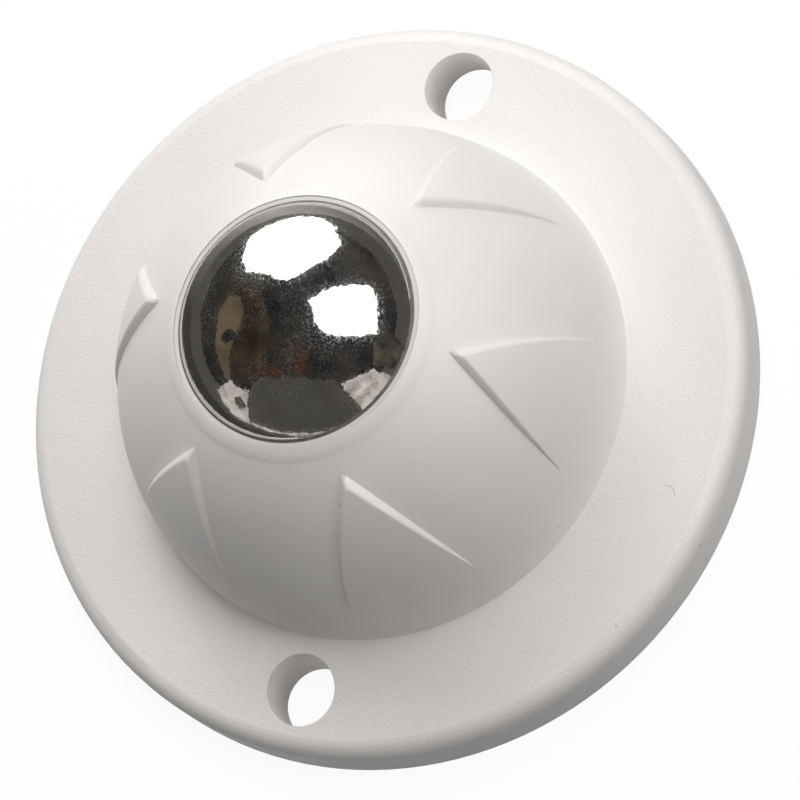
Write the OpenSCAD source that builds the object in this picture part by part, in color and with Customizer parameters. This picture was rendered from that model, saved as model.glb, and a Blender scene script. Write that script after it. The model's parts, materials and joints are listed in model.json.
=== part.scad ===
// Ball transfer unit: a steel ball that rolls on a bed of small balls inside a
// moulded two-hole flange housing. Sizes in millimetres, +Z up. The origin is
// the centre of the underside, on the axis of the ball.

/* [Balls] */
// Diameter of the main ball
ball_d = 15.875; // [14:0.125:19.5]
// Diameter of a load ball
load_d = 3.175; // [2.7:0.025:3.8]
// Clearance on each side of a load ball
race_gap = 0.12; // [0.05:0.01:0.2]
// Least space between two load balls of one row
load_space = 0.02; // [0.01:0.01:0.1]

/* [Race cup] */
// Wall of the pressed race cup
cup_wall = 0.8; // [0.5:0.05:1.2]
// Clearance between the rim of the race cup and the inside of the cap
rim_clear = 0.15; // [0.1:0.01:0.4]

/* [Base] */
// Thickness of the floor under the race cup
floor_t = 2.3; // [2:0.1:4]
// Clearance between two pieces that seat in each other
seat_gap = 0.05; // [0.03:0.01:0.1]
// Thickness of the flange at its edge
flange_h = 3.2; // [3:0.1:5]
// Rise of the flange's top from its edge to the dome
flange_rise = 0.65; // [0.3:0.05:1]
// Width of the flange outside the dome
flange_land = 6.93; // [5.7:0.01:10]
// Rounding of the flange's upper edge
flange_round = 1.2; // [0.4:0.1:1.4]
// Depth of the socket's top below the rim of the race cup
socket_drop = 0.8; // [0.6:0.1:3]
// Width of the flat rim on top of the socket
socket_bevel = 0.4; // [0.2:0.1:0.6]

/* [Screw holes] */
// Diameter of a screw hole
hole_d = 4.3; // [3.2:0.1:4.6]
// Distance from the middle of the flange's land in to a hole's centre
hole_shift = 0.235; // [0:0.005:0.4]

/* [Underside] */
// Depth of the coring under the flange
core_depth = 1.5; // [0.8:0.1:1.8]
// Width of the flange's outer wall at the coring
rim_wall = 1.9; // [1.2:0.1:2.5]
// Radius of the flat pad under the socket
pad_r = 13; // [11:0.1:14]
// Thickness of a rib under the flange
rib_w = 1; // [0.8:0.1:1.5]
// Number of ribs round the flange, the two bosses included
rib_count = 12; // [8:4:16]
// Wall of the boss round a screw hole
boss_wall = 1.5; // [1:0.1:2]

/* [Cap] */
// Thickness from the race cup's seat to the outside of the dome's foot
dome_wall = 3.37; // [3:0.01:4.5]
// Thickness of the cap's own wall
cap_wall = 1.6; // [1.2:0.1:2.2]
// Height at which the dome stands upright
dome_z = 3.17; // [2.9:0.01:3.6]
// Depth of the cap's foot in the flange
foot_depth = 1.15; // [0.8:0.05:1.2]
// Clearance that shows as a fine line round the dome's foot
foot_gap = 0.03; // [0.03:0.01:0.15]
// Height of the mouth's edge above the centre of the ball
mouth_rise = 3.29; // [3:0.01:4.5]
// Height of the upright land inside the mouth
mouth_land = 0.19; // [0.1:0.01:0.4]
// Width of the rolled edge round the mouth
collar_w = 1; // [0.4:0.05:1.2]
// How far the rolled edge stands out of the dome
collar_rise = 0.05; // [0.02:0.01:0.12]
// Height of the snap bead above the flange's underside
bead_z = 5; // [4.6:0.1:6]
// How far the snap bead stands out
bead_out = 0.3; // [0.15:0.05:0.4]

/* [Ball retainer] */
// Clearance between the ball and the retainer
ball_gap = 0.055; // [0.05:0.005:0.12]
// Thickness of the retainer's lip at the mouth
lip_t = 0.25; // [0.12:0.01:0.3]
// Distance from the mouth's edge down to the lip
lip_drop = 0.05; // [0.03:0.01:0.15]
// Clearance that shows as a fine line between the lip and the cap
lip_seam = 0.03; // [0.02:0.01:0.06]
// Gap between the rim of the race cup and the retainer
rim_gap = 0.1; // [0.05:0.01:0.2]

/* [Facets] */
// Number of raised facets round the dome
facet_count = 6; // [4:1:6]
// Turn of the first facet from the line of the screw holes
facet_turn = 30; // [0:1:60]
// Radius of a facet's point, from the axis
facet_in = 9.3; // [9:0.1:10.5]
// Radius of a facet's outer corners, from the axis
facet_out = 14.95; // [14:0.05:15.2]
// Half the angle between a facet's outer corners, seen from the axis
facet_half = 15.5; // [10:0.5:18]
// How far a facet's point stands out of the dome
facet_rise = 0.52; // [0.3:0.02:0.8]
// Radius of a facet's top, seen from the side
facet_r = 16.5; // [15:0.1:17]
// Angle between a facet's sloping side and the dome
facet_slope = 44; // [30:1:60]

/* [Hidden] */
$fn = 96;
eps = 0.01;

// The ball's bed: everything is centred on ball_z.
ball_r = ball_d / 2;
load_r = load_d / 2;
carpet_r = ball_r + race_gap + load_r;
cup_in = carpet_r + load_r + race_gap;
cup_out = cup_in + cup_wall;
seat_r = cup_out + seat_gap;
ball_z = floor_t + seat_r;

// The retainer's bore follows the ball, and its lip stands in the mouth.
bore_r = ball_r + ball_gap;
mouth_z = ball_z + mouth_rise;
lip_z = mouth_z - lip_drop;
function bore_at(z) = sqrt(pow(bore_r, 2) - pow(z - ball_z, 2));
lip_r = bore_at(lip_z);
lip_out = lip_r + lip_t;
mouth_r = lip_out + lip_seam;

// The dome is an arc, upright at dome_z, that ends at the mouth's edge.
foot_r = seat_r + dome_wall;
mouth_in = foot_r - mouth_r;
dome_r = (pow(mouth_in, 2) + pow(mouth_z - dome_z, 2)) / (2 * mouth_in);
dome_x = foot_r - dome_r;
inner_r = dome_r - cap_wall;
function arc_at(r, z) = dome_x + sqrt(pow(r, 2) - pow(z - dome_z, 2));
function dome_at(x) = dome_z + sqrt(pow(dome_r, 2) - pow(x - dome_x, 2));

// The cup's rim is where its outside, with the clearance, meets the inner arc.
rim_r = cup_out + rim_clear;
arc_away = [dome_x, dome_z - ball_z];
rim_along = (pow(rim_r, 2) - pow(inner_r, 2) + pow(norm(arc_away), 2)) / (2 * norm(arc_away));
rim_across = sqrt(pow(rim_r, 2) - pow(rim_along, 2));
cup_rim_z = ball_z + (rim_along * arc_away[1] + rim_across * arc_away[0]) / norm(arc_away);
retainer_z = cup_rim_z + rim_gap;
socket_top = cup_rim_z - socket_drop;

// The rows of load balls. The top row lies just under the retainer, at least six
// fit round the lowest ball, and each row is as full as its circle allows.
top_tilt = acos((ball_z - retainer_z + load_r + race_gap) / carpet_r);
row_count = floor(top_tilt / asin((load_d + load_space) / carpet_r));
row_pitch = top_tilt / row_count;
function row_tilt(row) = row * row_pitch;
function row_r(row) = carpet_r * sin(row_tilt(row));
function row_balls(row) = row == 0 ? 1 : floor(180 / asin((load_r + load_space / 2) / row_r(row)));
function balls_below(row) = row == 0 ? 0 : balls_below(row - 1) + row_balls(row - 1);
function load_name(n) = str("load_ball_", n < 10 ? "0" : "", n);
load_balls = [
    for (row = [0 : row_count])
        for (n = [0 : row_balls(row) - 1])
            [load_name(balls_below(row) + n + 1), row_tilt(row), (n + row / 2) * 360 / row_balls(row)]
];

// The flange and its holes.
flange_r = foot_r + flange_land;
hole_x = foot_r + flange_land / 2 - hole_shift;
foot_z = flange_h + flange_rise - foot_depth;
cap_z = foot_z + seat_gap;
boss_r = hole_d / 2 + boss_wall;

plastic_white = [0.93, 0.93, 0.91];
cap_white = [0.95, 0.95, 0.93];
liner_white = [0.88, 0.88, 0.86];
bright_steel = [0.62, 0.62, 0.63];
dark_steel = [0.45, 0.45, 0.46];

// Turns a profile of [radius, height] points about the axis.
module turned(points) rotate_extrude() polygon(points);

// The half-plane outside the axis, for profiles made with circles.
module right_half(low, high) translate([0, low]) square([flange_r + 1, high - low]);

// --- Base: flange, socket, screw holes and coring ---

module flange_profile() {
    edge_top = flange_h + flange_rise * flange_round / flange_land;
    difference() {
        polygon([
            [0, 0],
            [flange_r, 0],
            [flange_r, flange_h],
            [foot_r, flange_h + flange_rise],
            [0, flange_h + flange_rise]
        ]);
        difference() {
            translate([flange_r - flange_round, edge_top - flange_round])
                square([flange_round + 1, flange_round + 1]);
            translate([flange_r - flange_round, edge_top - flange_round])
                circle(r = flange_round);
        }
    }
}

module socket_profile() {
    socket_r = inner_r - seat_gap;
    intersection() {
        translate([dome_x, dome_z]) circle(r = socket_r);
        polygon([
            [0, 0],
            [foot_r, 0],
            [foot_r, socket_top - socket_bevel],
            [arc_at(socket_r, socket_top) - socket_bevel, socket_top],
            [0, socket_top]
        ]);
    }
    translate([arc_at(socket_r, bead_z) - bead_out, bead_z]) circle(r = 2 * bead_out);
}

// The channel in the flange's top that takes the cap's foot.
module foot_channel() {
    difference() {
        translate([arc_at(inner_r, dome_z) - seat_gap, foot_z])
            square([cap_wall + seat_gap + foot_gap, foot_depth + 1]);
        translate([dome_x, dome_z]) circle(r = inner_r - seat_gap);
    }
}

module core_pocket() {
    rib_step = 360 / rib_count;
    difference() {
        turned([
            [pad_r, -eps],
            [flange_r - rim_wall, -eps],
            [flange_r - rim_wall, core_depth],
            [pad_r, core_depth]
        ]);
        for (k = [0 : rib_count - 1])
            rotate(k * rib_step)
                translate([0, -rib_w / 2, -1]) cube([flange_r, rib_w, core_depth + 2]);
        for (side = [-1, 1])
            translate([side * hole_x, 0, -1]) cylinder(r = boss_r, h = core_depth + 2);
    }
}

module base() {
    color(plastic_white)
        difference() {
            rotate_extrude()
                difference() {
                    union() {
                        difference() {
                            flange_profile();
                            foot_channel();
                        }
                        intersection() {
                            socket_profile();
                            right_half(foot_z - 1, socket_top);
                        }
                    }
                    translate([0, ball_z]) circle(r = seat_r);
                    translate([-2 * flange_r, -1]) square([2 * flange_r, ball_z + seat_r]);
                }
            core_pocket();
            for (side = [-1, 1])
                translate([side * hole_x, 0, -1]) cylinder(d = hole_d, h = flange_h + flange_rise + 2);
        }
}

// --- Race cup and load balls ---

module race_cup() {
    color(dark_steel)
        rotate_extrude()
            intersection() {
                difference() {
                    translate([0, ball_z]) circle(r = cup_out);
                    translate([0, ball_z]) circle(r = cup_in);
                }
                right_half(0, cup_rim_z);
            }
}

module load_ball(tilt, turn) {
    color(bright_steel)
        translate([0, 0, ball_z])
            rotate([0, 0, turn]) rotate([0, tilt, 0])
                translate([0, 0, -carpet_r]) sphere(r = load_r);
}

module main_ball() {
    color(bright_steel) translate([0, 0, ball_z]) sphere(r = ball_r);
}

// --- Ball retainer: holds the ball in and the load balls down ---

module ball_retainer() {
    skirt_r = arc_at(inner_r, retainer_z) - seat_gap;
    color(liner_white)
        rotate_extrude()
            difference() {
                polygon([
                    [0, retainer_z],
                    [skirt_r, retainer_z],
                    [lip_out, mouth_z - mouth_land],
                    [lip_out, lip_z],
                    [0, lip_z]
                ]);
                translate([0, ball_z]) circle(r = bore_r);
                translate([-1, retainer_z - 1]) square([bore_at(retainer_z) + 1, ball_z - retainer_z]);
            }
}

// --- Cap: the dome with its mouth, rolled edge and facets ---

module cap_outline() {
    intersection() {
        translate([dome_x, dome_z]) circle(r = dome_r);
        right_half(dome_z, mouth_z);
    }
    translate([0, cap_z]) square([foot_r, dome_z - cap_z + eps]);
}

// The rolled edge is a flat arc that bulges out of the dome at the mouth.
module collar_outline() {
    chord = [collar_w * cos(34), -collar_w * sin(34)];
    roll_r = (pow(collar_w / 2, 2) + pow(collar_rise, 2)) / (2 * collar_rise);
    middle = [mouth_r + chord[0] / 2, dome_at(mouth_r + chord[0] / 2)];
    lean = atan2(middle[1] - dome_z, middle[0] - dome_x);
    intersection() {
        translate(middle + (collar_rise - roll_r) * [cos(lean), sin(lean)]) circle(r = roll_r);
        right_half(ball_z, mouth_z + 1);
    }
}

module cap_cavity() {
    skirt_r = arc_at(inner_r, retainer_z);
    polygon([
        [-foot_r, retainer_z - eps],
        [skirt_r, retainer_z - eps],
        [skirt_r, retainer_z],
        [mouth_r, mouth_z - mouth_land],
        [mouth_r, mouth_z + 2],
        [-foot_r, mouth_z + 2]
    ]);
    intersection() {
        translate([dome_x, dome_z]) circle(r = inner_r);
        right_half(dome_z, retainer_z);
    }
    translate([0, cap_z - 1]) square([foot_r - cap_wall, dome_z - cap_z + 1 + eps]);
    translate([arc_at(inner_r, bead_z) - bead_out, bead_z]) circle(r = 2 * bead_out + seat_gap);
}

// Centre of the facet's top arc, so that it runs out at the outer corners.
facet_lean_in = atan2(dome_at(facet_in) - dome_z, facet_in - dome_x);
facet_lean_out = atan2(dome_at(facet_out) - dome_z, facet_out - dome_x);
facet_top = [dome_x, dome_z] + (dome_r + facet_rise) * [cos(facet_lean_in), sin(facet_lean_in)];
facet_end = [dome_x, dome_z] + dome_r * [cos(facet_lean_out), sin(facet_lean_out)];

function arc_centre(a, b, r) =
    let (mid = (a + b) / 2, half = norm(b - a) / 2, off = sqrt(pow(r, 2) - pow(half, 2)))
    let (along = (b - a) / (2 * half))
    mid + off * [-along[1], along[0]];

// Circle through three points of a plane, as [x, y, radius].
function circle_through(a, b, c) =
    let (d = 2 * (a[0] * (b[1] - c[1]) + b[0] * (c[1] - a[1]) + c[0] * (a[1] - b[1])))
    let (x = (a * a * (b[1] - c[1]) + b * b * (c[1] - a[1]) + c * c * (a[1] - b[1])) / d)
    let (y = (a * a * (c[0] - b[0]) + b * b * (a[0] - c[0]) + c * c * (b[0] - a[0])) / d)
    [x, y, norm(a - [x, y])];

// A facet's body before its sides are cut: the top arc turned about the axis.
module facet_body() {
    top = arc_centre(facet_end, facet_top, facet_r);
    low = facet_end[1] - 1;
    rotate(-2 * facet_half)
        rotate_extrude(angle = 4 * facet_half)
            intersection() {
                translate(top) circle(r = facet_r);
                polygon([
                    [facet_in - 1, low],
                    [foot_r + 1, low],
                    [foot_r + 1, mouth_z],
                    [facet_in - 1, mouth_z]
                ]);
            }
}

// One side of a facet: a cone about the level line across the side's foot, so
// that the foot runs straight when it is seen from above.
module facet_side(side) {
    start = [facet_in, 0];
    end = facet_out * [cos(facet_half), side * sin(facet_half)];
    run = norm(end - start);
    along = atan2(end[1] - start[1], end[0] - start[0]);
    half_way = (start + end) / 2;
    foot = circle_through(
        [0, dome_at(norm(start))],
        [run / 2, dome_at(norm(half_way))],
        [run, dome_at(norm(end))]
    );
    off_axis = facet_in * sin(abs(along));
    lean = asin(off_axis / dome_r);
    widen = tan(facet_slope - lean);
    behind = 0.5;
    reach = run;
    translate([facet_in, 0, 0])
        rotate([0, 0, along])
            translate([foot[0], side * behind, foot[1]])
                rotate([side * 90, 0, 0])
                    cylinder(
                        r1 = foot[2] - behind * widen,
                        r2 = foot[2] + reach * widen,
                        h = behind + reach
                    );
}

module facet() {
    intersection() {
        facet_body();
        facet_side(1);
        facet_side(-1);
    }
}

module cap() {
    color(cap_white)
        difference() {
            union() {
                rotate_extrude()
                    difference() {
                        union() {
                            cap_outline();
                            collar_outline();
                        }
                        translate([-foot_r, 0]) square([foot_r + ball_r / 2, 3 * ball_z]);
                    }
                for (k = [0 : facet_count - 1])
                    rotate(facet_turn + k * 360 / facet_count) facet();
            }
            rotate_extrude()
                intersection() {
                    cap_cavity();
                    right_half(0, 3 * ball_z);
                }
        }
}

base();
race_cup();
ball_retainer();
cap();
main_ball();
for (b = load_balls)
    load_ball(b[1], b[2]);
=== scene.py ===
"""Ball transfer unit: a bright steel ball in a white moulded housing, on a pale floor in soft light."""

import json
import math

import bmesh
import bpy
from mathutils import Matrix, Vector
from mathutils.kdtree import KDTree


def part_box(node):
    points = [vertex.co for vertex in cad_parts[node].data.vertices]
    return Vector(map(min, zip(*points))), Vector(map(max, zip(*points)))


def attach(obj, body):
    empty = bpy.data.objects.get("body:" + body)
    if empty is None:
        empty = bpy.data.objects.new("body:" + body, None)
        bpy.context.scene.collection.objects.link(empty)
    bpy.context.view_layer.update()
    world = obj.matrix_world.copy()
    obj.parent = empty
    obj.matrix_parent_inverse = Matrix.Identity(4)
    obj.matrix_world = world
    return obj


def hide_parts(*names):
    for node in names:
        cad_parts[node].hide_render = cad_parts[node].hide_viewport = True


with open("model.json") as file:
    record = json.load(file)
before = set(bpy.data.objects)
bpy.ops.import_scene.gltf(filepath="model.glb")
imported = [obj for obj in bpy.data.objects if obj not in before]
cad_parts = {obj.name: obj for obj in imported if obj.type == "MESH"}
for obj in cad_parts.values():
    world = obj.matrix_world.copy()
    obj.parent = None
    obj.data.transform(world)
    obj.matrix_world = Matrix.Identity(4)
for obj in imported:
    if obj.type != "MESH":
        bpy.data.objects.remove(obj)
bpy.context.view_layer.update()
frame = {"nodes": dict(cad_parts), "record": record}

MM = 0.001
BALL_LOW, BALL_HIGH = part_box("main_ball")
BALL_CENTRE = (BALL_LOW + BALL_HIGH) / 2
BALL_RADIUS = (BALL_HIGH.x - BALL_LOW.x) / 2
CAP_LOW, CAP_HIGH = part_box("cap")
LIP_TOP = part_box("ball_retainer")[1].z


# --- Helpers for nodes and objects ---


def new_material(name):
    """A material with an empty tree, and its tree."""
    material = bpy.data.materials.new(name)
    material.use_nodes = True
    material.node_tree.nodes.clear()
    return material, material.node_tree


def add(tree, kind, **settings):
    """A node with its properties and its inputs' values set. A name has _ for a space."""
    node = tree.nodes.new(kind)
    for name, value in settings.items():
        if hasattr(node, name):
            setattr(node, name, value)
        else:
            node.inputs[name.replace("_", " ")].default_value = value
    return node


def object_place(tree):
    """Where on the piece a point is, in metres."""
    return tree.nodes.new("ShaderNodeTexCoord").outputs["Object"]


def parts_of(tree, vector):
    """The X, Y and Z of a vector, by name."""
    split = tree.nodes.new("ShaderNodeSeparateXYZ")
    tree.links.new(vector, split.inputs[0])
    return split.outputs


def combined(tree, operation, first, second):
    """The two values, or a value and a number, put together."""
    node = add(tree, "ShaderNodeMath", operation=operation)
    for socket, value in zip(node.inputs, (first, second)):
        if isinstance(value, (int, float)):
            socket.default_value = value
        else:
            tree.links.new(value, socket)
    return node.outputs[0]


def distance_to(tree, place, point):
    node = add(tree, "ShaderNodeVectorMath", operation="DISTANCE")
    node.inputs[1].default_value = point
    tree.links.new(place, node.inputs[0])
    return node.outputs["Value"]


def noise_at(tree, place, size, detail=2.0, roughness=0.5):
    """Noise whose lumps are about size metres across."""
    node = add(tree, "ShaderNodeTexNoise", Scale=1 / size, Detail=detail, Roughness=roughness)
    tree.links.new(place, node.inputs["Vector"])
    return node.outputs["Fac"]


def ramp(tree, value, low, high, low_colour, high_colour):
    """A colour that runs from low_colour to high_colour as value goes from low to high."""
    node = tree.nodes.new("ShaderNodeValToRGB")
    node.color_ramp.elements[0].position = low
    node.color_ramp.elements[1].position = high
    node.color_ramp.elements[0].color = (*low_colour, 1)
    node.color_ramp.elements[1].color = (*high_colour, 1)
    tree.links.new(value, node.inputs["Fac"])
    return node.outputs["Color"]


def level(tree, value, low, high, low_level, high_level):
    """A number that runs from low_level to high_level as value goes from low to high."""
    return ramp(tree, value, low, high, (low_level,) * 3, (high_level,) * 3)


def bumped(tree, height, distance, under=None):
    """A normal with a relief of the given depth laid over it."""
    node = add(tree, "ShaderNodeBump", Distance=distance, Strength=1.0)
    tree.links.new(height, node.inputs["Height"])
    if under is not None:
        tree.links.new(under, node.inputs["Normal"])
    return node.outputs["Normal"]


def finish_with(tree, shader):
    out = tree.nodes.new("ShaderNodeOutputMaterial")
    tree.links.new(shader, out.inputs["Surface"])


def shade_smooth(mesh):
    mesh.polygons.foreach_set("use_smooth", [True] * len(mesh.polygons))


def placed(name, mesh):
    """A new object in the scene that holds the mesh."""
    piece = bpy.data.objects.new(name, mesh)
    bpy.context.scene.collection.objects.link(piece)
    return piece


# --- Moulded finishes ---

# Where the cap meets the flange: the radius and the height of that circle, and the reach of its effect.
FOOT_DEPTH = 1.1 * MM
JOINT = (CAP_HIGH.x, CAP_LOW.z + FOOT_DEPTH, 0)
JOINT_REACH = 0.3 * MM


def off_the_joint(tree, place):
    """0 on the line where the cap meets the flange, and 1 away from it."""
    flat = add(tree, "ShaderNodeVectorMath", operation="MULTIPLY")
    flat.inputs[1].default_value = (1, 1, 0)
    tree.links.new(place, flat.inputs[0])
    radius = add(tree, "ShaderNodeVectorMath", operation="LENGTH")
    tree.links.new(flat.outputs["Vector"], radius.inputs[0])
    section = tree.nodes.new("ShaderNodeCombineXYZ")
    tree.links.new(radius.outputs["Value"], section.inputs["X"])
    tree.links.new(parts_of(tree, place)["Z"], section.inputs["Y"])
    return combined(tree, "GREATER_THAN", distance_to(tree, section.outputs[0], JOINT), JOINT_REACH)


def rounded_edges(tree, place, edge):
    """A normal that rounds the edges, but leaves them sharp where the cap meets the flange."""
    rounded = add(tree, "ShaderNodeBevel", samples=8, Radius=edge).outputs["Normal"]
    plain = tree.nodes.new("ShaderNodeNewGeometry").outputs["Normal"]
    # A Mix node's sockets go by number, because their names repeat.
    choice = add(tree, "ShaderNodeMix", data_type="VECTOR")
    tree.links.new(off_the_joint(tree, place), choice.inputs[0])
    tree.links.new(plain, choice.inputs[4])
    tree.links.new(rounded, choice.inputs[5])
    return choice.outputs[1]


# Small dark spots that the moulding has picked up: place and radius in millimetres, and strength.
SPOTS = [
    (-9.75, -4.65, 15.45, 0.09, 0.75),
    (-6.72, -13.92, 5.11, 0.07, 0.45),
    (-11.54, -18.26, 3.27, 0.10, 0.22),
    (-5.73, -21.73, 2.33, 0.09, 0.35),
]
SPOT_CORE = 0.4

# A short curled hair: a part of a circle, on one side of its centre.
HAIR_CENTRE = (-3.33 * MM, -19.33 * MM, 3.47 * MM)
HAIR_RADIUS = 0.5 * MM
HAIR_WIDTH = 0.035 * MM
HAIR_SIDE = (-2.91 * MM, -19.59 * MM, 3.45 * MM)
HAIR_REACH = 0.4 * MM
HAIR_FADE = 0.1 * MM
HAIR_STRENGTH = 0.22
MARK_COLOUR = (0.18, 0.16, 0.14, 1)


def inside(tree, value, limit, softness):
    """1 where value is under limit, falling to 0 over softness."""
    ends = {"From_Min": limit, "From_Max": limit + softness, "To_Min": 1.0, "To_Max": 0.0}
    node = add(tree, "ShaderNodeMapRange", **ends)
    tree.links.new(value, node.inputs["Value"])
    return node.outputs["Result"]


def marks_on(tree, place):
    """How marked the skin is at a place, from 0 to 1: the spots, and one short curled hair."""
    total = 0.0
    for x, y, z, radius, strength in SPOTS:
        away = distance_to(tree, place, (x * MM, y * MM, z * MM))
        spot = inside(tree, away, radius * SPOT_CORE * MM, radius * MM)
        total = combined(tree, "MAXIMUM", combined(tree, "MULTIPLY", spot, strength), total)
    from_ring = combined(tree, "SUBTRACT", distance_to(tree, place, HAIR_CENTRE), HAIR_RADIUS)
    from_ring = combined(tree, "ABSOLUTE", from_ring, 0.0)
    on_side = inside(tree, distance_to(tree, place, HAIR_SIDE), HAIR_REACH, HAIR_FADE)
    hair = combined(tree, "MULTIPLY", inside(tree, from_ring, HAIR_WIDTH, HAIR_WIDTH), on_side)
    return combined(tree, "MAXIMUM", combined(tree, "MULTIPLY", hair, HAIR_STRENGTH), total)


CLOUD_SIZE = 6 * MM
CLOUD_SHADE = 0.975
FINE_GRAIN = 0.4
FINE_DEPTH = 0.3


def moulded_white(name, colour, grain, depth, roughness, edge):
    """White moulding: the size and depth of its grain and the rounding of its edges are in metres."""
    material, tree = new_material(name)
    place = object_place(tree)
    skin = add(tree, "ShaderNodeBsdfPrincipled", IOR=1.5, Roughness=roughness)
    cloud = noise_at(tree, place, CLOUD_SIZE, detail=3)
    darker = [c * CLOUD_SHADE for c in colour]
    clean = ramp(tree, cloud, 0.3, 0.7, darker, colour)
    marked = add(tree, "ShaderNodeMix", data_type="RGBA")
    tree.links.new(marks_on(tree, place), marked.inputs[0])
    tree.links.new(clean, marked.inputs[6])
    marked.inputs[7].default_value = MARK_COLOUR
    tree.links.new(marked.outputs[2], skin.inputs["Base Color"])
    rounded = rounded_edges(tree, place, edge)
    coarse = noise_at(tree, place, grain, detail=1.5, roughness=0.6)
    fine = noise_at(tree, place, grain * FINE_GRAIN, detail=1)
    grained = bumped(tree, coarse, depth, under=rounded)
    tree.links.new(bumped(tree, fine, depth * FINE_DEPTH, under=grained), skin.inputs["Normal"])
    finish_with(tree, skin.outputs["BSDF"])
    return material


# --- Metal and grease finishes ---

# How far above the ball's centre the dust on it starts, where it is full, and how much metal it hides.
DUST_LOW = 4.4 * MM
DUST_HIGH = 6.6 * MM
DUST_STRENGTH = 0.22


def dust_on(tree, place):
    """How much of the metal fine dust hides: patches of single grains on the ball's upper side."""
    patchy = noise_at(tree, place, 1.6 * MM, detail=3, roughness=0.6)
    grainy = noise_at(tree, place, 0.12 * MM, detail=2, roughness=0.8)
    patches = level(tree, patchy, 0.42, 0.62, 0.0, DUST_STRENGTH)
    grains = level(tree, grainy, 0.52, 0.66, 0.0, 1.0)
    ends = {"From_Min": BALL_CENTRE.z + DUST_LOW, "From_Max": BALL_CENTRE.z + DUST_HIGH}
    above = add(tree, "ShaderNodeMapRange", **ends)
    tree.links.new(parts_of(tree, place)["Z"], above.inputs["Value"])
    dust = combined(tree, "MULTIPLY", patches, grains)
    return combined(tree, "MULTIPLY", dust, above.outputs["Result"])


# Roughness of the metal under a full haze, and the haze's own roughness and index.
HAZED_METAL = 0.34
HAZE_ROUGHNESS = 0.24
HAZE_INDEX = 2.2
DULL_SHADE = 0.6


def plated_steel(name, colour, roughness, ripple_depth):
    """Bright plated steel with a faint ripple, dull marks, a haze of fine specks, and dust."""
    material, tree = new_material(name)
    place = object_place(tree)
    skin = add(tree, "ShaderNodeBsdfPrincipled", Coat_Roughness=HAZE_ROUGHNESS, Coat_IOR=HAZE_INDEX)
    marks = noise_at(tree, place, 0.45 * MM, detail=5, roughness=0.7)
    dull = [c * DULL_SHADE for c in colour]
    tree.links.new(ramp(tree, marks, 0.24, 0.33, dull, colour), skin.inputs["Base Color"])
    specks = noise_at(tree, place, 0.16 * MM, detail=4, roughness=0.75)
    tree.links.new(level(tree, specks, 0.52, 0.80, roughness, HAZED_METAL), skin.inputs["Roughness"])
    tree.links.new(level(tree, specks, 0.44, 0.60, 0.08, 1.0), skin.inputs["Coat Weight"])
    tree.links.new(combined(tree, "SUBTRACT", 1.0, dust_on(tree, place)), skin.inputs["Metallic"])
    ripple = noise_at(tree, place, 0.9 * MM, detail=3, roughness=0.55)
    tree.links.new(bumped(tree, ripple, ripple_depth), skin.inputs["Normal"])
    finish_with(tree, skin.outputs["BSDF"])
    return material


def pressed_steel(name, colour, roughness):
    """Plain pressed steel with fine worn marks."""
    material, tree = new_material(name)
    place = object_place(tree)
    skin = add(tree, "ShaderNodeBsdfPrincipled", Metallic=1.0, Roughness=roughness)
    marks = noise_at(tree, place, 0.4 * MM, detail=4, roughness=0.6)
    worn = [c * 0.8 for c in colour]
    tree.links.new(ramp(tree, marks, 0.3, 0.7, worn, colour), skin.inputs["Base Color"])
    tree.links.new(bumped(tree, marks, 0.01 * MM), skin.inputs["Normal"])
    finish_with(tree, skin.outputs["BSDF"])
    return material


def dark_grease_shade(name, colour):
    """Old grey grease, with a soft shine and a little dust in it, dark enough to paint the shade of the
    gap it fills.
    """
    material, tree = new_material(name)
    place = object_place(tree)
    skin = add(tree, "ShaderNodeBsdfPrincipled", Roughness=0.5)
    cloud = noise_at(tree, place, 0.5 * MM, detail=3)
    dusty = [c * 1.6 for c in colour]
    tree.links.new(ramp(tree, cloud, 0.35, 0.65, colour, dusty), skin.inputs["Base Color"])
    tree.links.new(bumped(tree, noise_at(tree, place, 0.2 * MM), 0.01 * MM), skin.inputs["Normal"])
    finish_with(tree, skin.outputs["BSDF"])
    return material


def dress(nodes, material):
    """Gives the material to each of the part's own pieces that is named."""
    for name in nodes:
        slots = frame["nodes"][name].data.materials
        slots.clear()
        slots.append(material)


# --- Fine rings: the beads in the joints, and the grease at the lip, dark as painted shade in the gap ---

RING_STEPS = 256
SHARP_CORNER = math.radians(20)


def ring_tree():
    """A node tree that carries an outline round a circle in the level plane."""
    tree = bpy.data.node_groups.new("ring_from_outline", "GeometryNodeTree")
    given_sockets = {"Outline": "Geometry", "Radius": "Float", "Steps": "Int", "Finish": "Material"}
    for socket, kind in given_sockets.items():
        tree.interface.new_socket(socket, in_out="INPUT", socket_type="NodeSocket" + kind)
    tree.interface.new_socket("Ring", in_out="OUTPUT", socket_type="NodeSocketGeometry")
    given = tree.nodes.new("NodeGroupInput")
    path = tree.nodes.new("GeometryNodeCurvePrimitiveCircle")
    tree.links.new(given.outputs["Radius"], path.inputs["Radius"])
    tree.links.new(given.outputs["Steps"], path.inputs["Resolution"])
    outline = tree.nodes.new("GeometryNodeMeshToCurve")
    tree.links.new(given.outputs["Outline"], outline.inputs["Mesh"])
    swept = tree.nodes.new("GeometryNodeCurveToMesh")
    tree.links.new(path.outputs["Curve"], swept.inputs["Curve"])
    tree.links.new(outline.outputs["Curve"], swept.inputs["Profile Curve"])
    real = tree.nodes.new("GeometryNodeRealizeInstances")
    tree.links.new(swept.outputs["Mesh"], real.inputs["Geometry"])
    finished = tree.nodes.new("GeometryNodeSetMaterial")
    tree.links.new(real.outputs["Geometry"], finished.inputs["Geometry"])
    tree.links.new(given.outputs["Finish"], finished.inputs["Material"])
    result = tree.nodes.new("NodeGroupOutput")
    tree.links.new(finished.outputs["Geometry"], result.inputs["Ring"])
    return tree


RING_TREE = ring_tree()


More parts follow.
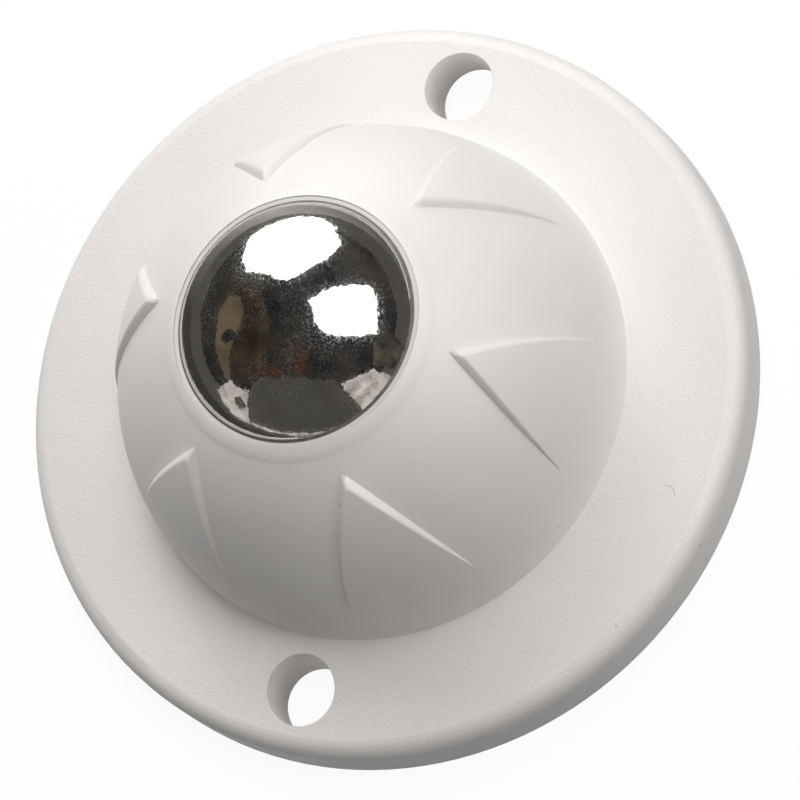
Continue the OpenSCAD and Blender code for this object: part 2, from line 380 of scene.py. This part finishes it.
def turned_ring(name, corners, material):
    """A closed ring on the housing, turned from corners given as (radius, height), clockwise."""
    around = corners[0][0]
    outline = bpy.data.meshes.new(name + "_outline")
    points = [(radius - around, -height, 0) for radius, height in corners]
    outline.from_pydata(points, [(k, (k + 1) % len(points)) for k in range(len(points))], [])
    ring = placed(name, outline)
    turning = ring.modifiers.new("ring", "NODES")
    turning.node_group = RING_TREE
    values = {"Radius": around, "Steps": RING_STEPS, "Finish": material}
    for socket in RING_TREE.interface.items_tree:
        if socket.name in values:
            turning[socket.identifier] = values[socket.name]
    turned = ring.evaluated_get(bpy.context.evaluated_depsgraph_get())
    mesh = bpy.data.meshes.new_from_object(turned)
    ring.modifiers.remove(turning)
    ring.data = mesh
    shade_smooth(mesh)
    mesh.set_sharp_from_angle(angle=SHARP_CORNER)
    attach(ring, "housing")


# Across and up from the corner where the cap meets the flange, in millimetres.
BEAD_OUTLINE = [(-0.02, 0.012), (0.065, -0.010), (0.05, -0.10), (-0.02, -0.10)]


def joint_bead(material):
    """The fine bead that closes the joint between cap and flange."""
    corners = [(JOINT[0] + across * MM, JOINT[1] + up * MM) for across, up in BEAD_OUTLINE]
    turned_ring("joint_bead", corners, material)


# Up from the lip's top and out from the ball's surface, in millimetres.
FILM_OUTLINE = [(-0.02, 0.008), (0.16, 0.008), (0.12, 0.016), (0.004, 0.054), (-0.06, 0.050)]


def grease_shade_film(material):
    """The thin dark film of grease in the running gap between the lip and the ball, which also paints
    the gap's shade.
    """
    corners = []
    for up, away in FILM_OUTLINE:
        height = LIP_TOP - BALL_CENTRE.z + up * MM
        radius = math.sqrt((BALL_RADIUS + away * MM) ** 2 - height**2)
        corners.append((radius, BALL_CENTRE.z + height))
    turned_ring("grease_shade_film", corners, material)


# The lip's distance from the ball and its width, the two sides of the seam outside it, and how far
# below the lip the seam's filling starts and ends.
LIP_GAP = 0.055 * MM
LIP_WIDTH = 0.25 * MM
SEAM_SIDES = (0.001 * MM, 0.029 * MM)
SEAM_DEPTHS = (0.02 * MM, 0.12 * MM)


def seam_bead(material):
    """The fine bead that closes the seam between the retainer's lip and the cap's mouth."""
    inner = math.sqrt((BALL_RADIUS + LIP_GAP) ** 2 - (LIP_TOP - BALL_CENTRE.z) ** 2) + LIP_WIDTH
    near, far = (inner + side for side in SEAM_SIDES)
    top, foot = (LIP_TOP - depth for depth in SEAM_DEPTHS)
    corners = [(near, top), (far, top), (far, foot), (near, foot)]
    turned_ring("seam_bead", corners, material)


# --- The cap, with the sides of its raised facets drawn to a soft curve ---

# The facets: how many, the middle line of the first, and the least and greatest radius of their edges.
FACET_COUNT = 6
FACET_TURN = math.radians(30)
FACET_ZONE = (9.0 * MM, 14.9 * MM)

# How far two faces turn at each kind of edge, in degrees, and the least rise of a face on the outside.
FOOT_TURN = 6
TOP_TURN = 25
RIDGE_TURN = 58
LEAST_RISE = 0.05

# The soft curve runs a little past the foot of a side, and the tip ridges are rounded over this width.
SIDE_REACH = 1.05
RIDGE_ROUND = 0.22 * MM
LEAST_SIDE = 0.01 * MM
SIDE_LEAN = 0.3

# How fine the mesh gets, how far from the sides, and how closely the edges are sampled.
FINE_EDGE = 0.09 * MM
FINE_REACH = 0.6 * MM
HALVINGS = 8
SAMPLE_STEP = 0.02 * MM
WELD = 0.0005 * MM
ON_DOME, ON_FACET = 0, 1


def facet_half(point):
    """Which half of its facet a point is in, left or right of the facet's middle line."""
    pitch = 2 * math.pi / FACET_COUNT
    turn = (math.atan2(point.y, point.x) - FACET_TURN) % pitch
    return 0 if turn < pitch / 2 else 1


def middle_of(edge):
    return (edge.verts[0].co + edge.verts[1].co) / 2


def facet_edges(shell):
    """The sharp edges of the raised facets: tops, tip ridges and feet."""
    tops, ridges, feet = [], [], []
    for edge in shell.edges:
        if not FACET_ZONE[0] < middle_of(edge).xy.length < FACET_ZONE[1]:
            continue
        if min(face.normal.z for face in edge.link_faces) < LEAST_RISE:
            continue
        turn = math.degrees(edge.calc_face_angle())
        if turn > FOOT_TURN and not edge.is_convex:
            feet.append(edge)
        elif turn > RIDGE_TURN:
            ridges.append(edge)
        elif turn > TOP_TURN:
            tops.append(edge)
    return tops, ridges, feet


def mark_facets(tops, feet):
    """Spreads over the faces from the top edges, and stops at the feet."""
    stops = set(feet)
    waiting = [face for edge in tops for face in edge.link_faces]
    while waiting:
        face = waiting.pop()
        if face.material_index == ON_FACET:
            continue
        face.material_index = ON_FACET
        for edge in face.edges:
            if edge not in stops and FACET_ZONE[0] < middle_of(edge).xy.length < FACET_ZONE[1]:
                waiting.extend(edge.link_faces)


def tree_of(points):
    tree = KDTree(len(points))
    for k, point in enumerate(points):
        tree.insert(point, k)
    tree.balance()
    return tree


def steps_along(edge):
    """Fractions of the way along an edge, close together."""
    steps = max(1, round(edge.calc_length() / SAMPLE_STEP))
    return [k / steps for k in range(steps + 1)]


def points_along(edge):
    return [edge.verts[0].co.lerp(edge.verts[1].co, t) for t in steps_along(edge)]


def side_rows(tops, feet_tree, true_normal):
    """Along each top edge: the place, the ways out and to the foot, and the side's width and height."""
    halves = ([], [])
    for edge in tops:
        top_face = max(edge.link_faces, key=lambda face: face.normal.dot(dome_out(middle_of(edge))))
        outs = []
        for vert in edge.verts:
            outs += [loop[true_normal] for loop in top_face.loops if loop.vert == vert]
        rows = halves[facet_half(middle_of(edge))]
        for t in steps_along(edge):
            point = edge.verts[0].co.lerp(edge.verts[1].co, t)
            out = outs[0].lerp(outs[1], t).normalized()
            drop = feet_tree.find(point)[0] - point
            height = -drop.dot(out)
            sideways = drop + out * height
            if sideways.length > LEAST_SIDE:
                rows.append((point, out, sideways.normalized(), sideways.length, height))
    return [(rows, tree_of([row[0] for row in rows])) for rows in halves]


def dome_out(point):
    """Roughly the dome's outward direction."""
    return point.normalized()


def ridge_rows(ridges, feet_tree):
    """Along each tip ridge: the place, the way out, the sides' turn and how far the round reaches."""
    rows = []
    for edge in ridges:
        out = (edge.link_faces[0].normal + edge.link_faces[1].normal).normalized()
        pull = math.tan(edge.calc_face_angle() / 2)
        for point in points_along(edge):
            rows.append((point, out, pull, min(RIDGE_ROUND, feet_tree.find(point)[2])))
    return rows, tree_of([row[0] for row in rows])


def split_in_two(edge):
    """Halves a mesh edge, and with it the triangles on both sides."""
    middle = bmesh.utils.edge_split(edge, edge.verts[0], 0.5)[1]
    for face in list(middle.link_faces):
        corner = next(loop for loop in face.loops if loop.vert == middle)
        bmesh.utils.face_split(face, middle, corner.link_loop_next.link_loop_next.vert)


def refine(shell, trees):
    """Halves the long mesh edges near the facets' sides, the longest first, until they are fine."""
    for _ in range(HALVINGS):
        long_edges = []
        for edge in shell.edges:
            length = edge.calc_length()
            on_facet = any(face.material_index == ON_FACET for face in edge.link_faces)
            if length < FINE_EDGE or not on_facet:
                continue
            if min(tree.find(middle_of(edge))[2] for tree in trees) < FINE_REACH + length / 2:
                long_edges.append((length, edge.index, edge))
        long_edges.sort(key=lambda row: (-row[0], row[1]))
        for row in long_edges:
            split_in_two(row[2])
        shell.edges.index_update()
        shell.edges.ensure_lookup_table()


def soft_side(point, side):
    """How far a facet point rises, the slope there, and the row it goes by."""
    rows, tree = side
    row = rows[tree.find(point)[1]]
    top, out, sideways, width, height = row
    across = width - (point - top).dot(sideways)
    reach = width * SIDE_REACH
    if across > reach:
        return 0.0, 0.0, row
    across = max(across, 0.0)
    left = 1 - across / reach
    rise = height * (1 - left * left) - height * min(1.0, across / width)
    return rise, 2 * height / reach * left, row


def soft_ridge(point, ridge):
    """How far a point by a tip ridge is drawn in, how much it keeps its own normal, and the way out."""
    rows, tree = ridge
    index, gap = tree.find(point)[1:]
    out, pull, reach = rows[index][1:]
    if gap >= reach:
        return 0.0, 1.0, out
    return pull * (reach - gap) ** 2 / (2 * reach), gap / reach, out


def copied_shell(source):
    """A merged copy of a mesh that keeps the source's own normals at its corners."""
    shell = bmesh.new()
    shell.from_mesh(source)
    true_normal = shell.loops.layers.float_vector.new("true_normal")
    for face in shell.faces:
        face.material_index = ON_DOME
        for loop, corner in zip(face.loops, source.polygons[face.index].loop_indices):
            loop[true_normal] = source.corner_normals[corner].vector
    bmesh.ops.remove_doubles(shell, verts=shell.verts, dist=WELD)
    shell.normal_update()
    return shell, true_normal


def softened(point, out, side, ridge):
    """The move of a facet point, and its new normal in place of out."""
    rise, slope, row = soft_side(point, side)
    side_out, sideways = row[1:3]
    move = side_out * rise
    if slope > 0:
        flat = side_out if out.dot(sideways) > SIDE_LEAN else out
        out = (flat + sideways * slope).normalized()
    drawn, kept, ridge_out = soft_ridge(point, ridge)
    if kept < 1:
        move = move - ridge_out * drawn
        out = (ridge_out + (out / out.dot(ridge_out) - ridge_out) * kept).normalized()
    return move, out


def soft_cap():
    """The cap's own shape with the sides of its facets curved, and their tips rounded."""
    shell, true_normal = copied_shell(frame["nodes"]["cap"].data)
    tops, ridges, feet = facet_edges(shell)
    mark_facets(tops, feet)
    feet_tree = tree_of([point for edge in feet for point in points_along(edge)])
    sides = side_rows(tops, feet_tree, true_normal)
    ridge = ridge_rows(ridges, feet_tree)
    refine(shell, [sides[0][1], sides[1][1], ridge[1]])
    normals = []
    moves = {}
    for face in shell.faces:
        side = sides[facet_half(face.calc_center_median())]
        for loop in face.loops:
            out = loop[true_normal].normalized()
            if face.material_index == ON_FACET:
                moves[loop.vert], out = softened(loop.vert.co, out, side, ridge)
            normals.append(out)
    for vert, move in moves.items():
        vert.co += move
    for face in shell.faces:
        face.material_index = 0
    shell.loops.layers.float_vector.remove(true_normal)
    mesh = bpy.data.meshes.new("soft_cap")
    shell.to_mesh(mesh)
    shell.free()
    shade_smooth(mesh)
    mesh.normals_split_custom_set(normals)
    piece = placed("soft_cap", mesh)
    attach(piece, "housing")
    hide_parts("cap")
    return piece


# --- Each piece and its finish ---

# A moulding's colour, grain size, grain depth, roughness and edge rounding.
flange_white = moulded_white(
    "flange_moulding", (0.889, 0.858, 0.831), 0.17 * MM, 0.03 * MM, 0.5, 0.12 * MM
)
cap_white = moulded_white("cap_moulding", (0.889, 0.857, 0.829), 0.12 * MM, 0.011 * MM, 0.5, 0.10 * MM)
retainer_white = moulded_white(
    "retainer_moulding", (0.88, 0.85, 0.822), 0.1 * MM, 0.003 * MM, 0.4, 0.05 * MM
)
dress(["base"], flange_white)
joint_bead(flange_white)
# The grease film darkens the lip's gap: painted shade as well as grease.
grease_shade_film(dark_grease_shade("gap_grease_shade", (0.13, 0.12, 0.11)))
dress(["cap"], cap_white)
soft_cap().data.materials.append(cap_white)
seam_bead(cap_white)
dress(["ball_retainer"], retainer_white)
dress(["main_ball"], plated_steel("ball_plating", (0.6, 0.59, 0.58), 0.035, 0.014 * MM))
dress(["race_cup"], pressed_steel("race_pressing", (0.5, 0.5, 0.51), 0.35))
load_balls = frame["record"]["behaviour"]["bodies"]["load_balls"]
dress(load_balls, plated_steel("load_ball_polish", (0.58, 0.58, 0.59), 0.08, 0.004 * MM))


# --- Camera ---

# How far the axis tips from the line of sight and to which side, the turn about the axis, the distance,
# the lens in millimetres, and how far the unit stands off the middle.
VIEW_TIP = math.radians(25.66)
VIEW_LEAN = math.radians(142.38)
VIEW_TURN = math.radians(77.56)
VIEW_DISTANCE = 576.96 * MM
VIEW_LENS = 435.84
VIEW_SHIFT = Vector((0.0465, -0.1346, 0)) * MM

lean_axis = Vector((-math.sin(VIEW_LEAN), math.cos(VIEW_LEAN), 0))
to_view = Matrix.Rotation(VIEW_TIP, 3, lean_axis) @ Matrix.Rotation(VIEW_TURN, 3, "Z")
from_view = to_view.transposed()

camera = placed("camera", bpy.data.cameras.new("camera"))
camera.data.sensor_width = 36
camera.data.lens = VIEW_LENS
camera.data.clip_start = 0.01
camera.data.clip_end = 20
eye = from_view @ (Vector((0, 0, VIEW_DISTANCE)) - VIEW_SHIFT)
camera.matrix_world = Matrix.Translation(eye) @ from_view.to_4x4()
bpy.context.scene.camera = camera


# --- Light ---


def direction(azimuth, elevation):
    """The unit vector at an azimuth and an elevation given in degrees."""
    a, e = math.radians(azimuth), math.radians(elevation)
    return Vector((math.cos(a) * math.cos(e), math.sin(a) * math.cos(e), math.sin(e)))


def lamp(name, azimuth, elevation, distance, width, power):
    """A soft square lamp that faces the ball. The metal mirrors the cards and not the lamps."""
    data = bpy.data.lights.new(name, "AREA")
    data.shape = "SQUARE"
    data.size = width
    data.energy = power
    box = placed(name, data)
    way = direction(azimuth, elevation)
    box.location = BALL_CENTRE + way * distance
    box.rotation_euler = way.to_track_quat("Z", "Y").to_euler()
    box.visible_glossy = False


# Each lamp: azimuth and elevation in degrees, distance and width in metres, power in watts.
LAMPS = [
    ("over_box", -60, 72, 0.35, 0.18, 0.306),
    ("front_box", 0, 62, 0.35, 0.18, 0.270),
    ("side_box", 33, 42, 0.35, 0.18, 0.335),
    ("low_box", 30, 5, 0.35, 0.15, 0.330),
    ("right_box", -90, 20, 0.35, 0.15, 0.223),
    ("low_card", -50, 8, 0.35, 0.15, 0.270),
    ("left_card", 70, 12, 0.35, 0.15, 0.213),
    ("far_card", 130, 30, 0.35, 0.15, 0.110),
    ("back_card", -150, 50, 0.35, 0.20, 0.103),
]
for settings in LAMPS:
    lamp(*settings)


# --- What the metal mirrors: a dim room with lit boxes and cards, the bench, and a painted reflection of the housing round the ball ---


def glow(name, colour, strength=1.0):
    """A plain lit surface."""
    material, tree = new_material(name)
    shine = add(tree, "ShaderNodeEmission", Color=(*colour, 1), Strength=strength)
    finish_with(tree, shine.outputs["Emission"])
    return material


def mottled(name, dark, light, size):
    """A lit surface with patches about size metres across."""
    material, tree = new_material(name)
    patches = noise_at(tree, object_place(tree), size, detail=5, roughness=0.6)
    shine = tree.nodes.new("ShaderNodeEmission")
    tree.links.new(ramp(tree, patches, 0.36, 0.66, dark, light), shine.inputs["Color"])
    finish_with(tree, shine.outputs["Emission"])
    return material


def only_in_metal(card):
    """The card is there for reflections and casts no light or shade of its own."""
    card.visible_camera = False
    card.visible_diffuse = False
    card.visible_shadow = False
    card.visible_transmission = False
    card.visible_volume_scatter = False


# How far the mirrored cards stand from the ball, in metres, in order from the wall inwards.
WALL_RADIUS = 0.53
FAR = 0.5
FAR_CARD = 0.48
FAR_MARK = 0.47
NEAR = 0.046
NEAR_MARK = 0.045

# A card's steps along each side, its rings inwards, and the corners of a round one.
CARD_STEPS = 8
CARD_RINGS = 6
ROUND_CORNERS = 10
TO_VIEW = from_view @ Vector((0, 0, 1))


def mirrored(azimuth, elevation, away):
    """The point that many metres away that the ball mirrors to the camera, in a direction in degrees."""
    way = direction(azimuth, elevation)
    on_ball = BALL_CENTRE + BALL_RADIUS * (way + TO_VIEW).normalized()
    return on_ball + way * away


def between(start, end, t):
    """The (azimuth, elevation) a fraction t of the way from start to end."""
    return [start[i] + (end[i] - start[i]) * t for i in (0, 1)]


def card(name, outline, material, away):
    """A card for the metal to mirror, with corners given as (azimuth, elevation)."""
    corners = []
    for k, corner in enumerate(outline):
        after = outline[(k + 1) % len(outline)]
        corners += [between(corner, after, step / CARD_STEPS) for step in range(CARD_STEPS)]
    middle = [sum(corner[i] for corner in corners) / len(corners) for i in (0, 1)]
    points = [mirrored(*middle, away)]
    for ring in range(1, CARD_RINGS + 1):
        points += [mirrored(*between(middle, corner, ring / CARD_RINGS), away) for corner in corners]
    count = len(corners)
    faces = [(0, 1 + k, 1 + (k + 1) % count) for k in range(count)]
    for ring in range(CARD_RINGS - 1):
        inner, outer = 1 + ring * count, 1 + (ring + 1) * count
        for k in range(count):
            n = (k + 1) % count
            faces.append((inner + k, inner + n, outer + n, outer + k))
    mesh = bpy.data.meshes.new(name)
    mesh.from_pydata(points, [], faces)
    mesh.materials.append(material)
    only_in_metal(placed(name, mesh))


def round_outline(azimuth, elevation, spread, stretch):
    """Corners of a round card. Stretch makes it taller than it is wide."""
    turns = [2 * math.pi * k / ROUND_CORNERS for k in range(ROUND_CORNERS)]
    across = [azimuth + spread * math.cos(turn) for turn in turns]
    up = [elevation + stretch * spread * math.sin(turn) for turn in turns]
    return list(zip(across, up))


def room():
    """Closed round wall that the metal mirrors."""
    bpy.ops.mesh.primitive_uv_sphere_add(
        segments=48, ring_count=24, radius=WALL_RADIUS, location=(0, 0, 0)
    )
    wall = bpy.context.object
    wall.name = "studio_wall"
    wall.data.transform(Matrix.Translation(BALL_CENTRE))
    paint = mottled("studio_walls", (0.014, 0.015, 0.018), (0.062, 0.055, 0.043), 0.3)
    wall.data.materials.append(paint)
    only_in_metal(wall)


# Painted reflection of the lit housing and bench round the ball: its brightness every 30 degrees from
# the -X side, highest on the side of the main light boxes.
MIRRORED_RING_GLOW = [0.06, 0.10, 0.12, 0.085, 0.20, 0.15, 0.30, 0.50, 0.20, 0.06, 0.055, 0.05, 0.06]
MIRRORED_RING_TINT = (1.0, 0.955, 0.91)
BENCH_STEPS = 96


def mirrored_ring_material():
    """Painted reflection of the housing and bench: a glow by direction from the axis, brighter where
    more light falls. From below it lets light through.
    """
    material, tree = new_material("mirrored_ring_glow")
    parts = parts_of(tree, object_place(tree))
    turn = add(tree, "ShaderNodeMapRange", From_Min=-math.pi, From_Max=math.pi)
    tree.links.new(combined(tree, "ARCTAN2", parts["Y"], parts["X"]), turn.inputs["Value"])
    levels = tree.nodes.new("ShaderNodeValToRGB")
    stops = levels.color_ramp.elements
    stops.remove(stops[1])
    for k, brightness in enumerate(MIRRORED_RING_GLOW):
        stop = stops[0] if k == 0 else stops.new(k / (len(MIRRORED_RING_GLOW) - 1))
        stop.position = k / (len(MIRRORED_RING_GLOW) - 1)
        stop.color = (*[brightness * tint for tint in MIRRORED_RING_TINT], 1)
    tree.links.new(turn.outputs["Result"], levels.inputs["Fac"])
    shine = tree.nodes.new("ShaderNodeEmission")
    tree.links.new(levels.outputs["Color"], shine.inputs["Color"])
    clear = tree.nodes.new("ShaderNodeBsdfTransparent")
    side = tree.nodes.new("ShaderNodeNewGeometry").outputs["Backfacing"]
    chosen = tree.nodes.new("ShaderNodeMixShader")
    tree.links.new(side, chosen.inputs[0])
    tree.links.new(shine.outputs[0], chosen.inputs[1])
    tree.links.new(clear.outputs[0], chosen.inputs[2])
    finish_with(tree, chosen.outputs[0])
    return material


def bench(name, profile, material):
    """A turned surface that faces up, through the given (radius, height) points in millimetres. It makes
    the bench, and the cone that carries the painted reflection.
    """
    points = []
    for radius, height in profile:
        for k in range(BENCH_STEPS):
            a = 2 * math.pi * k / BENCH_STEPS
            points.append((radius * MM * math.cos(a), radius * MM * math.sin(a), height * MM))
    faces = []
    for ring in range(len(profile) - 1):
        inner, outer = ring * BENCH_STEPS, (ring + 1) * BENCH_STEPS
        for k in range(BENCH_STEPS):
            n = (k + 1) % BENCH_STEPS
            faces.append((inner + k, outer + k, outer + n, inner + n))
    mesh = bpy.data.meshes.new(name)
    mesh.from_pydata(points, [], faces)
    mesh.materials.append(material)
    only_in_metal(placed(name, mesh))


# Points of the profile, in millimetres: from the cap's mouth out over the housing, where the cone
# carries the painted reflection, to the bench and the wall.
AT_MOUTH = (7.66, CAP_HIGH.z / MM + 0.04)
ON_BENCH = (60, 0.3)
AT_WALL = (540, 0.3)
room()
# The cone over the housing is a painted reflection: the ball mirrors its glow in place of the lit
# housing and bench.
bench("mirrored_ring_cone", [AT_MOUTH, ON_BENCH], mirrored_ring_material())
bench("bench_far", [ON_BENCH, AT_WALL], glow("bench_dark", (0.105, 0.099, 0.09)))

WHITE_BOX = glow("white_box", (1.0, 0.99, 0.97), 3.0)
PALE_CARD = mottled("pale_card", (0.40, 0.37, 0.33), (0.97, 0.92, 0.85), 0.007)
GREY_CARD = mottled("grey_card", (0.084, 0.079, 0.073), (0.100, 0.095, 0.088), 0.03)
LOW_GLINT = mottled("low_glint", (0.30, 0.29, 0.27), (1.15, 1.12, 1.07), 0.004)
TAN_CARD = mottled("tan_card", (0.10, 0.077, 0.048), (0.19, 0.145, 0.09), 0.25)
BROWN_WALL = mottled("brown_wall", (0.03, 0.022, 0.016), (0.075, 0.053, 0.034), 0.12)
BLACK_CARD = glow("black_card", (0.02, 0.02, 0.022))
RED_CARD = mottled("red_card", (0.03, 0.02, 0.016), (0.13, 0.06, 0.035), 0.05)
OLIVE_CARD = mottled("olive_card", (0.035, 0.032, 0.025), (0.13, 0.12, 0.085), 0.008)

# Each card: name, corners as (azimuth, elevation) in degrees, finish and distance.
CARDS = [
    (
        "round_box",
        [(-7, 14), (-8, 32), (4, 51), (22, 58), (38, 53), (58, 30), (56, 14), (51, 3), (1, 3)],
        WHITE_BOX,
        FAR_CARD,
    ),
    (
        "round_box_low",
        [(2, 6), (52, 6), (48, -5), (38, -11), (29, -14), (17, -13), (7, -6)],
        WHITE_BOX,
        NEAR,
    ),
    (
        "square_box",
        [(-104, 60), (-83, 70), (-32, 71), (-34, 52), (-46, 16), (-82, 15), (-89, 30)],
        WHITE_BOX,
        FAR_CARD,
    ),
    (
        "right_reflector",
        [(-134, 19), (-118, 13), (-108, 6), (-105, -15), (-125, -15), (-135, -17)],
        PALE_CARD,
        NEAR,
    ),
    (
        "left_reflector",
        [(125, -7), (133, 13), (139, 12), (149, 18), (149, -15), (135, -15)],
        PALE_CARD,
        NEAR,
    ),
    ("left_hole", round_outline(143, 1, 4, stretch=1.3), GREY_CARD, NEAR_MARK),
    (
        "flat_panel",
        [
            (150, 22),
            (156, 34),
            (182, 41),
            (200, 40),
            (225, 26),
            (225, -12),
            (208, -14),
            (184, -9),
            (150, -8),
        ],
        GREY_CARD,
        NEAR,
    ),
    (
        "low_glint",
        [
            (150, -11),
            (165, -12),
            (184, -14),
            (204, -17),
            (222, -17),
            (222, -19),
            (204, -19),
            (184, -16.5),
            (150, -14),
        ],
        LOW_GLINT,
        NEAR,
    ),
    (
        "tan_panel",
        [(78, 27), (88, 22), (102, 18), (128, 9), (133, 13), (121, 28), (105, 44), (92, 48), (77, 39)],
        TAN_CARD,
        FAR_CARD,
    ),
    ("tan_hole", round_outline(109, 31, 5, stretch=1.6), BLACK_CARD, FAR_MARK),
    (
        "brown_wall",
        [(70, 30), (61, 53), (80, 68), (106, 74), (140, 66), (165, 46), (150, 24), (120, 20)],
        BROWN_WALL,
        FAR,
    ),
    ("red_bit", [(191, 47), (200, 41), (218, 55), (209, 65), (198, 72)], RED_CARD, FAR_CARD),
    ("red_corner", [(149, 39), (156, 33), (180, 43), (165, 51)], RED_CARD, FAR_CARD),
    (
        "olive_card",
        [(-94, 16), (-80, -4), (-84, -16), (-97, -18), (-101, -7), (-106, 8)],
        OLIVE_CARD,
        NEAR,
    ),
]
for settings in CARDS:
    card(*settings)


# --- Floor and backdrop ---

# The floor's half width in metres, how bright it shows and how much light it gives back.
FLOOR_HALF = 4.0
FLOOR_SHOWN = 0.93
FLOOR_COLOUR = (0.08, 0.08, 0.08, 1)


def seen_ray(tree):
    """1 for what the camera, metal or glass sees, and 0 for light that falls on the unit."""
    rays = tree.nodes.new("ShaderNodeLightPath").outputs
    seen = combined(tree, "MAXIMUM", rays["Is Camera Ray"], rays["Is Glossy Ray"])
    return combined(tree, "MAXIMUM", seen, rays["Is Transmission Ray"])


def floor():
    """Pale floor that shows white and keeps a faint shadow."""
    mesh = bpy.data.meshes.new("floor")
    signs = [(-1, -1), (1, -1), (1, 1), (-1, 1)]
    mesh.from_pydata([(x * FLOOR_HALF, y * FLOOR_HALF, 0) for x, y in signs], [], [(0, 1, 2, 3)])
    material, tree = new_material("pale_floor")
    matt = add(tree, "ShaderNodeBsdfDiffuse", Color=FLOOR_COLOUR)
    shine = tree.nodes.new("ShaderNodeEmission")
    tree.links.new(combined(tree, "MULTIPLY", seen_ray(tree), FLOOR_SHOWN), shine.inputs["Strength"])
    both = tree.nodes.new("ShaderNodeAddShader")
    tree.links.new(matt.outputs[0], both.inputs[0])
    tree.links.new(shine.outputs[0], both.inputs[1])
    finish_with(tree, both.outputs[0])
    mesh.materials.append(material)
    placed("floor", mesh)


floor()


def backdrop():
    """White behind everything, for the camera, metal and glass. It lights nothing."""
    world = bpy.data.worlds.new("studio")
    bpy.context.scene.world = world
    world.use_nodes = True
    tree = world.node_tree
    tree.nodes.clear()
    sky = add(tree, "ShaderNodeBackground", Color=(1, 1, 1, 1))
    tree.links.new(seen_ray(tree), sky.inputs["Strength"])
    out = tree.nodes.new("ShaderNodeOutputWorld")
    tree.links.new(sky.outputs[0], out.inputs["Surface"])


backdrop()
bpy.context.scene.view_settings.view_transform = "Standard"
